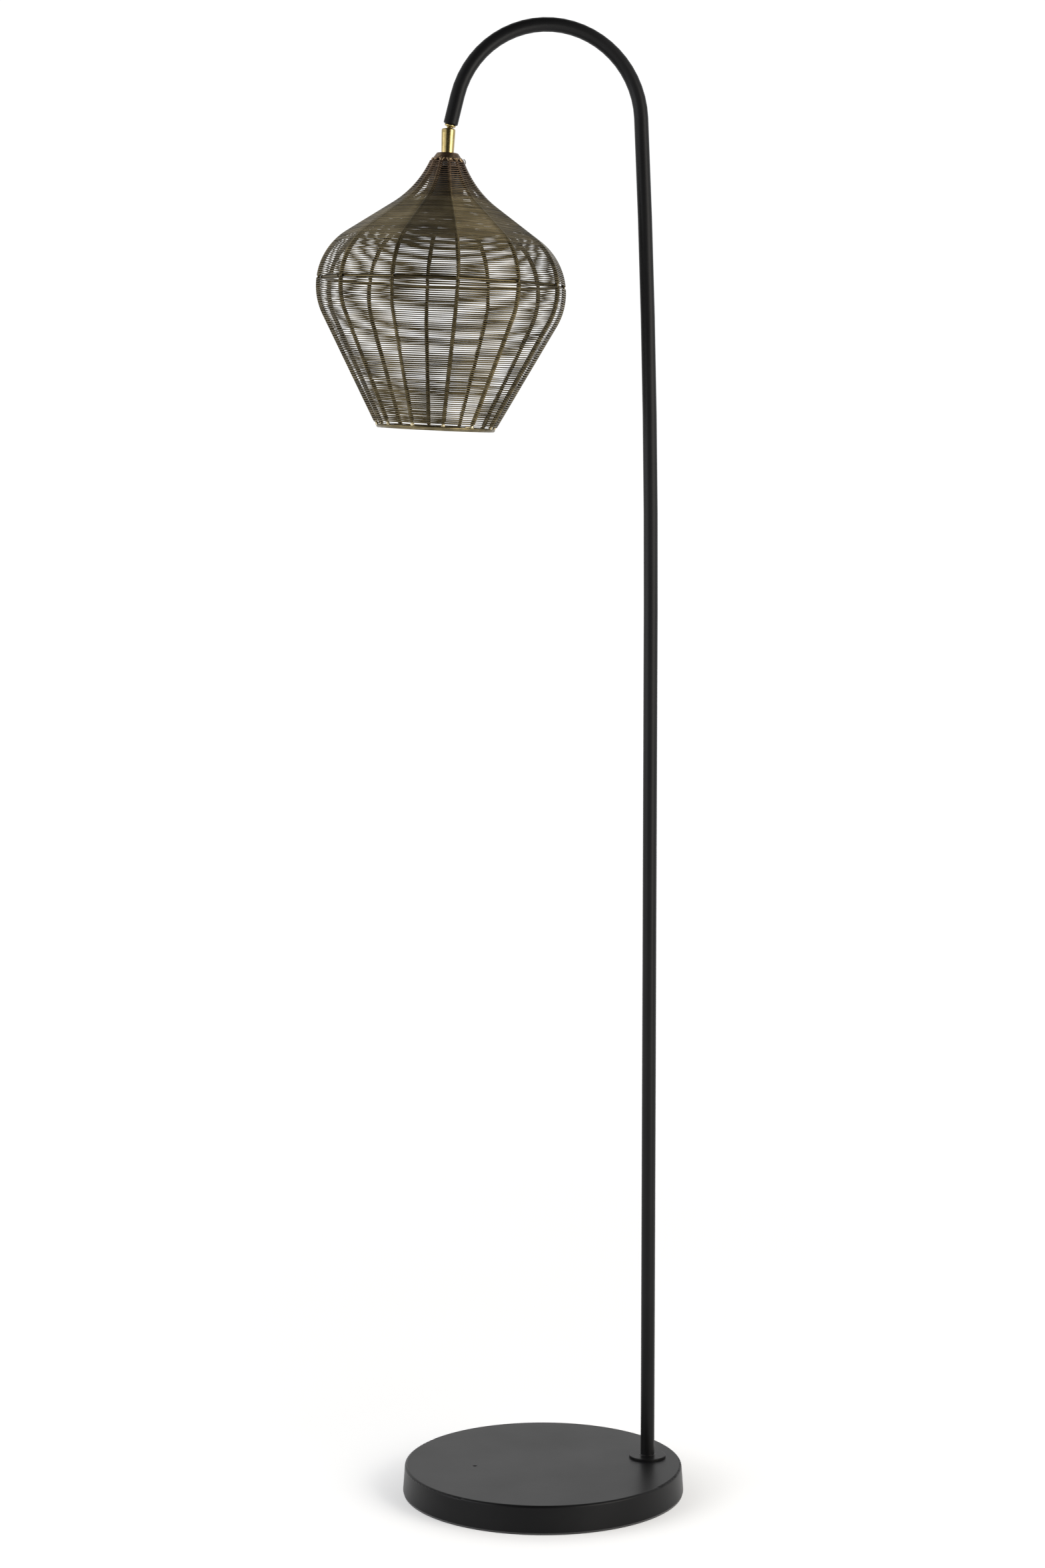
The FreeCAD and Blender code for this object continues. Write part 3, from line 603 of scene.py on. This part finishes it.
# At the girdle the rows part, by half of its room upwards and by half downwards.
aside = GIRDLE_ROOM * np.where(below_girdle, 0.5, -0.5) * np.exp(-np.abs(row_run - girdle_run) / ROOM_FADES)
# Near the cap and the foot ring the rows have less and less room to wander and to slip.
free = np.clip(np.minimum(row_run - FIRST_ROW, RIB_LONG - LAST_ROW - row_run) / FREE_AFTER, 0, 1)
# The slip is chance, smoothed along the wire by a bell-shaped weight of three spans to each side.
reach = 3 * SLIP_SPAN
bell = np.exp(-0.5 * (np.arange(-reach, reach + 1) / SLIP_SPAN) ** 2)
bell = bell / np.sqrt((bell ** 2).sum())
slip = np.convolve(hand.normal(size=len(crossing) + 2 * reach), bell, "valid")
even_run = row_run
row_run = row_run + aside + free * (wander(row_run, azimuth) + slip * SLIP)
row_run = row_run + hand.normal(size=len(crossing)) * JITTER
row_run = np.clip(row_run, FIRST_ROW, RIB_LONG - LAST_ROW)
print("rows lie up to", round(np.abs(row_run - even_run).max() / MM, 2), "mm from their even places")

# %% One path through every crossing
LOOP_R = RIB_R + WIRE_R
STEP_DOWN = 2 * WIRE_R                     # a turn ends one wire's thickness lower
TILT = 1.5 * MM                            # and leans, so that its strands cross the rod aslant
LOOP_POINTS = 13
RUN_POINTS = 3
BOW = 0.08 * MM

centre, round_it, outward, downward, slope = on_rib(row_run, azimuth)
# The wire comes in and leaves where its circle about the rod is in line with the straight runs, which
# turn inward by half the angle between two rods. On a sloping rod that angle looks smaller.
touch = np.arctan(math.tan(math.pi / RIB_COUNT) * np.cos(slope))[:, None]
share = np.linspace(0, 1, LOOP_POINTS)[None, :]
angle = math.pi / 2 + touch - (2 * math.pi + 2 * touch) * share
level = STEP_DOWN * (share - 0.5) - TILT * np.cos(angle)
loops = (centre[:, None] + LOOP_R * (np.cos(angle)[..., None] * round_it[:, None]
                                     + np.sin(angle)[..., None] * outward[:, None])
         + level[..., None] * downward[:, None])

part_way = (np.arange(1, RUN_POINTS + 1) / (RUN_POINTS + 1))[None, :, None]
leaves, arrives = loops[:-1, -1:], loops[1:, :1]
arch = 4 * part_way * (1 - part_way)
bow = hand.normal(size=(len(crossing) - 1, 1, 1)) * BOW
runs = leaves + (arrives - leaves) * part_way - arch * np.abs(bow) * np.array([0, 0, 1.0])
across_runs = downward[:-1, None] * (1 - part_way) + downward[1:, None] * part_way

wire_path = np.concatenate([np.concatenate([loops[:-1], runs], axis=1).reshape(-1, 3), loops[-1]])
wire_across = np.concatenate([
    np.concatenate([np.repeat(downward[:-1, None], LOOP_POINTS, axis=1), across_runs], axis=1).reshape(-1, 3),
    np.repeat(downward[-1:], LOOP_POINTS, axis=0)])
wire_long = np.linalg.norm(np.diff(wire_path, axis=0), axis=1).sum()
print("wire", round(wire_long, 1), "m in", len(wire_path), "points")

# %% The wire as two pieces
points_each = LOOP_POINTS + RUN_POINTS
cut = int(np.argmax(below_girdle)) * points_each
wire_parts = (("wire_rows_above_girdle", 0, cut), ("wire_rows_below_girdle", cut, len(wire_path)))
for name, first, last in wire_parts:
    rows = piece(name, *bar(hang(wire_path[first:last]), lean(wire_across[first:last]), WIRE_R),
                 finishes["bronze_wire"], "bronze_wire")
    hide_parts("wire_winding")

# %% [markdown]
# ## Brazing and solder
# Each rod is brazed to the cap at its upper end and to the foot ring at its lower end. The metal ran
# while it was hot and froze as a small web, widest where two parts meet and drawn out thin along the
# rod. It could be sculpted, but a web is only an oval sleeve whose width changes along the rod, so a
# short table of widths gives it, and a little chance makes no two alike. Without these webs the cap
# would seem to float on the rods.

# %% Webs of brazing at both ends of every rod
WEB_RUN = np.array([-1.4, -0.8, -0.2, 0.4, 1.0, 1.7, 2.5, 3.6]) * MM        # from the rod's end
WEB_WIDE = np.array([0.8, 2.6, 3.8, 3.4, 2.7, 2.1, 1.7, 1.42]) * MM
WEB_THICK = np.array([0.5, 1.3, 1.75, 1.75, 1.65, 1.55, 1.48, 1.42]) * MM
FOOT_RUN = np.array([0.0, 0.8, 1.6, 2.4, 3.2]) * MM
FOOT_WIDE = np.array([2.9, 2.6, 2.0, 1.6, 1.42]) * MM
FOOT_THICK = np.array([2.15, 2.1, 1.8, 1.55, 1.42]) * MM
WEB_SIDES = 14
WEB_CHANCE = 0.18                          # how much the webs differ, as a share of their size
rod_azimuths = RIB_PHASE + np.arange(RIB_COUNT) * 2 * math.pi / RIB_COUNT


def webs(runs, wides, thicks, from_foot, seed):
    """Webs on all the rods. A web's rings stand on its rod's line, drawn out straight past the rod's
    end, at the table's distances stretched by a chance share. What the table gives over the rod's own
    radius is changed by a second chance share."""
    chance = np.random.default_rng(seed)
    parts = []
    for azimuth in rod_azimuths:
        longer, wider = 1 + WEB_CHANCE * chance.normal(size=2)
        run = runs * longer
        wide, thick = (RIB_R + (size - RIB_R) * wider for size in (wides, thicks))
        if from_foot:
            run, wide, thick = RIB_LONG - run[::-1], wide[::-1], thick[::-1]
        middle, round_rod, out_of_rod, down_rod, _ = on_rib(run, np.full(len(run), azimuth))
        middle = middle + np.minimum(run, 0)[:, None] * down_rod
        parts.append(skin(middle, round_rod, out_of_rod, wide, thick, WEB_SIDES))
    points, faces = together(parts)
    return hang(points), faces


bare_braze = braze("bare_braze", (0.11, 0.072, 0.044), (0.38, 0.28, 0.16))
bright_solder = braze("foot_solder", (0.22, 0.18, 0.10), (0.80, 0.72, 0.50))
piece("cap_brazing", *webs(WEB_RUN, WEB_WIDE, WEB_THICK, False, 3), bare_braze, "bronze_sheet")
piece("foot_solder", *webs(FOOT_RUN, FOOT_WIDE, FOOT_THICK, True, 5), bright_solder, "bronze_ring")

# %% [markdown]
# ## The wire's two ends
# The wire has to start and stop somewhere. At the top its end is bent into a small eye that stands
# out from the first rod, and at the bottom its tail lies on the foot ring under a coat of solder.
# Both are short bars along a curve of a few dozen points.

# %% Eye and tail
EYE_AZIMUTH = RIB_PHASE
EYE_HALF = (1.2 * MM, 2.5 * MM)            # out of the rod, and along it
EYE_RUN = 2.6 * MM                         # from the rib's upper end
EYE_FROM = -0.35 * math.pi                 # how far round it goes, where 0 is at the rod
EYE_TO = 1.5 * math.pi
EYE_WIRE_R = 0.8 * WIRE_R                  # a little thinner than the rest of the wire
EYE_POINTS = 40
TAIL_AZIMUTH = RIB_PHASE - math.radians(60)
TAIL_LONG = 8.5 * MM
TAIL_POINTS = 24
TAIL_OUT = 0.6                             # radians from the ring's top towards its outside
TAIL_SUNK = 0.15                           # how far it lies into the ring, as a share of its radius
END_SIDES = 8

# The eye is most of an oval in the plane of its rod, and it steps aside by the wire's radius from one
# end to the other.
turn = np.linspace(EYE_FROM, EYE_TO, EYE_POINTS)[:, None]
at_eye = np.full(EYE_POINTS, EYE_RUN), np.full(EYE_POINTS, EYE_AZIMUTH)
middle, round_rod, out_of_rod, down_rod, _ = on_rib(*at_eye)
eye = (middle + (RIB_R + EYE_HALF[0] - EYE_HALF[0] * np.cos(turn)) * out_of_rod
       + EYE_HALF[1] * np.sin(turn) * down_rod
       + WIRE_R * np.linspace(0, 1, EYE_POINTS)[:, None] * round_rod)
piece("wire_eye", *bar(hang(eye), lean(round_rod), EYE_WIRE_R, END_SIDES),
      finishes["bronze_wire"], "bronze_wire")

# The tail is an arc along the foot ring, one lift away from the middle of the ring's rod.
tail_azimuth = TAIL_AZIMUTH - np.linspace(0, 1, TAIL_POINTS) * TAIL_LONG / rib_radii[-1]
out_of_ring = np.stack([np.cos(tail_azimuth), np.sin(tail_azimuth), 0 * tail_azimuth], -1)
lift = FOOT_RING_R * (1 - TAIL_SUNK) + WIRE_R
tail = ((rib_radii[-1] + lift * math.sin(TAIL_OUT)) * out_of_ring
        - (rib_depths[-1] - lift * math.cos(TAIL_OUT)) * np.array([0, 0, 1.0]))
piece("wire_tail", *bar(hang(tail), lean(out_of_ring), WIRE_R, END_SIDES), bright_solder, "bronze_wire")

# %% [markdown]
# ## The weld under the tube
# Where the tube stands on its flange there is a thin bead that was painted over. It is a hollow curve
# turned about the tube, a little wider here and there.

# %% The weld bead
TUBE_R = 8.0 * MM
BEAD_WIDE = 1.5 * MM
BEAD_HIGH = 1.4 * MM
BEAD_SUNK = 0.1 * MM                       # how far it reaches into the tube and the flange
BEAD_ROWS = 7
BEAD_ROUND = 96
BEAD_WAVES = ((9, 0.12, 0.5), (23, 0.07, 0.0))     # how many round the tube, how large, their start
flange_low, flange_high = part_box("pole_flange")
flange_top = flange_high[2]
tube_x, tube_y = (flange_low[0] + flange_high[0]) / 2, (flange_low[1] + flange_high[1]) / 2


def weld_bead():
    """A closed skin of revolution: the distance from the tube is the width times (1 - share) squared, and
    the height is the bead's height times the share squared, both swelled by waves round the tube. A
    last row in the corner of tube and flange closes it."""
    share = np.linspace(0, 1, BEAD_ROWS)[:, None]
    turn = np.arange(BEAD_ROUND)[None, :] * 2 * math.pi / BEAD_ROUND
    swell = 1 + sum(large * np.sin(count * turn + start) for count, large, start in BEAD_WAVES)
    radius = TUBE_R - BEAD_SUNK + (BEAD_WIDE * swell + BEAD_SUNK) * (1 - share) ** 2
    height = flange_top + BEAD_HIGH * swell * share ** 2
    radius = np.concatenate([radius, np.full((1, BEAD_ROUND), TUBE_R - BEAD_SUNK)])
    height = np.concatenate([height, np.full((1, BEAD_ROUND), flange_top - BEAD_SUNK)])
    points = np.stack([tube_x + radius * np.cos(turn), tube_y + radius * np.sin(turn), height], -1)
    return points.reshape(-1, 3), grid_faces(BEAD_ROWS + 2, BEAD_ROUND) % radius.size


piece("tube_weld", *weld_bead(), finishes["black_coat"], "black_coat", body="stand")

# %% [markdown]
# ## The studio
# The lamp was taken on a white sweep, with a tall soft light on either side and a dark room behind
# the photographer. That dark room matters: the front of the cage and the middle of the brass show
# it, and would look like plastic without it. Here the sky round the lamp is white with a dark band
# from the camera's side up over the lamp, which the camera doesn't see directly, and two large area
# lights stand left and right. The floor is a plain pale sheet that glows a little, and more so far
# from the lamp, so that no horizon cuts the picture.

# %% Floor
FLOOR_HALF = 14.0
FLOOR_LOW = -0.2 * MM                      # just under the lamp's pad
FLOOR_GLOW = 0.3, 0.6                      # at the base and far from it
GLOW_BETWEEN = 0.4, 4.0                    # the distances over which it grows
PAPER_PATCH = 0.8                          # how large the floor's faint patches of tone are


def studio_floor():
    """One pale square, whose own glow grows with the distance from the middle of the base."""
    points = [(x, y, FLOOR_LOW) for y in (-FLOOR_HALF, FLOOR_HALF) for x in (-FLOOR_HALF, FLOOR_HALF)]
    mesh = bpy.data.meshes.new("floor")
    mesh.from_pydata(points, [], [(0, 1, 3, 2)])
    floor = bpy.data.objects.new("floor", mesh)
    white = new_finish("pale_floor", Roughness=0.9, Emission_Color=(1, 1, 1, 1))
    glow = spread(white, distance(white, place(white)), *FLOOR_GLOW, *GLOW_BETWEEN)
    join(white, glow, "Emission Strength")
    paper = cloud(white, place(white), PAPER_PATCH, 3)
    whites = blend_colours(white, paper, (0.3, (0.90, 0.90, 0.90)), (0.7, (0.92, 0.92, 0.92)))
    join(white, whites, "Base Color")
    mesh.materials.append(white)
    bpy.context.scene.collection.objects.link(floor)


studio_floor()
print("floor", 2 * FLOOR_HALF, "m wide")

# %% Lights
LAMP_MIDDLE = Vector((-0.05, 0.0, 1.1))
SOFT_BOX_AWAY = 2.4                        # from the lamp's middle
SOFT_BOX_HIGH = 2.4
COOL = (0.96, 0.97, 1.0)
WARM = (1.0, 0.95, 0.87)
SKY = 1.0
DARK_ROOM = 0.05
SEEN_SKY = 1.05                            # what the camera sees, just past white
SIDE_EDGE = 0.35, 0.75                     # between these the sky turns from dark to white, sideways
BACK_EDGE = 0.25, 0.65                     # and away from the camera


def soft_box(name, turn, wide, brightness, colour):
    """An upright area light that faces the lamp, turned from the camera's side to the right by so many
    degrees. Its power is the brightness wanted times pi times its area."""
    data = bpy.data.lights.new(name, "AREA")
    data.shape = "RECTANGLE"
    data.size, data.size_y = wide, SOFT_BOX_HIGH
    data.energy = brightness * math.pi * wide * SOFT_BOX_HIGH
    data.color = colour
    light = bpy.data.objects.new(name, data)
    heading = CAMERA_TURN - math.radians(turn)
    towards = Vector((-math.sin(heading), -math.cos(heading), 0))
    light.location = LAMP_MIDDLE + towards * SOFT_BOX_AWAY
    light.rotation_euler = (-towards).to_track_quat("-Z", "Z").to_euler()
    bpy.context.scene.collection.objects.link(light)


soft_box("left_soft_box", -70, 1.1, 2.8, COOL)
soft_box("right_soft_box", 55, 1.5, 4.0, WARM)


def studio_sky():
    """A white sky with a dark band that runs from the camera's side up over the lamp. Its brightness
    follows how far a direction points sideways or away from the camera, whichever is more. What the
    camera sees directly is plain white."""
    world = bpy.data.worlds.new("studio")
    world.use_nodes = True
    tree = world.node_tree
    background = tree.nodes["Background"]
    direction = tree.nodes.new("ShaderNodeTexCoord")

    def part_bright(axis, start, end, both_ways):
        """From 0 to 1 as a direction turns towards an axis, or towards either of its ends."""
        turned = tree.nodes.new("ShaderNodeVectorMath")
        turned.operation = "DOT_PRODUCT"
        turned.inputs[1].default_value = axis
        tree.links.new(direction.outputs["Generated"], turned.inputs[0])
        amount = turned.outputs["Value"]
        if both_ways:
            size = tree.nodes.new("ShaderNodeMath")
            size.operation = "ABSOLUTE"
            tree.links.new(amount, size.inputs[0])
            amount = size.outputs["Value"]
        bright = tree.nodes.new("ShaderNodeMapRange")
        bright.interpolation_type = "SMOOTHSTEP"
        bright.inputs["From Min"].default_value = start
        bright.inputs["From Max"].default_value = end
        tree.links.new(amount, bright.inputs["Value"])
        return bright.outputs["Result"]

    sideways = part_bright((math.cos(CAMERA_TURN), -math.sin(CAMERA_TURN), 0), *SIDE_EDGE, True)
    behind = part_bright((math.sin(CAMERA_TURN), math.cos(CAMERA_TURN), 0), *BACK_EDGE, False)
    most = tree.nodes.new("ShaderNodeMath")
    most.operation = "MAXIMUM"
    tree.links.new(sideways, most.inputs[0])
    tree.links.new(behind, most.inputs[1])
    room = tree.nodes.new("ShaderNodeMapRange")
    room.inputs["To Min"].default_value = DARK_ROOM
    room.inputs["To Max"].default_value = SKY
    tree.links.new(most.outputs["Value"], room.inputs["Value"])
    seen = tree.nodes.new("ShaderNodeLightPath")
    strength = tree.nodes.new("ShaderNodeMix")
    strength.inputs["B"].default_value = SEEN_SKY
    tree.links.new(seen.outputs["Is Camera Ray"], strength.inputs["Factor"])
    tree.links.new(room.outputs["Result"], strength.inputs["A"])
    tree.links.new(strength.outputs["Result"], background.inputs["Strength"])
    background.inputs["Color"].default_value = (1, 1, 1, 1)
    bpy.context.scene.world = world


studio_sky()
bpy.context.scene.view_settings.view_transform = "Standard"
print("studio lit")
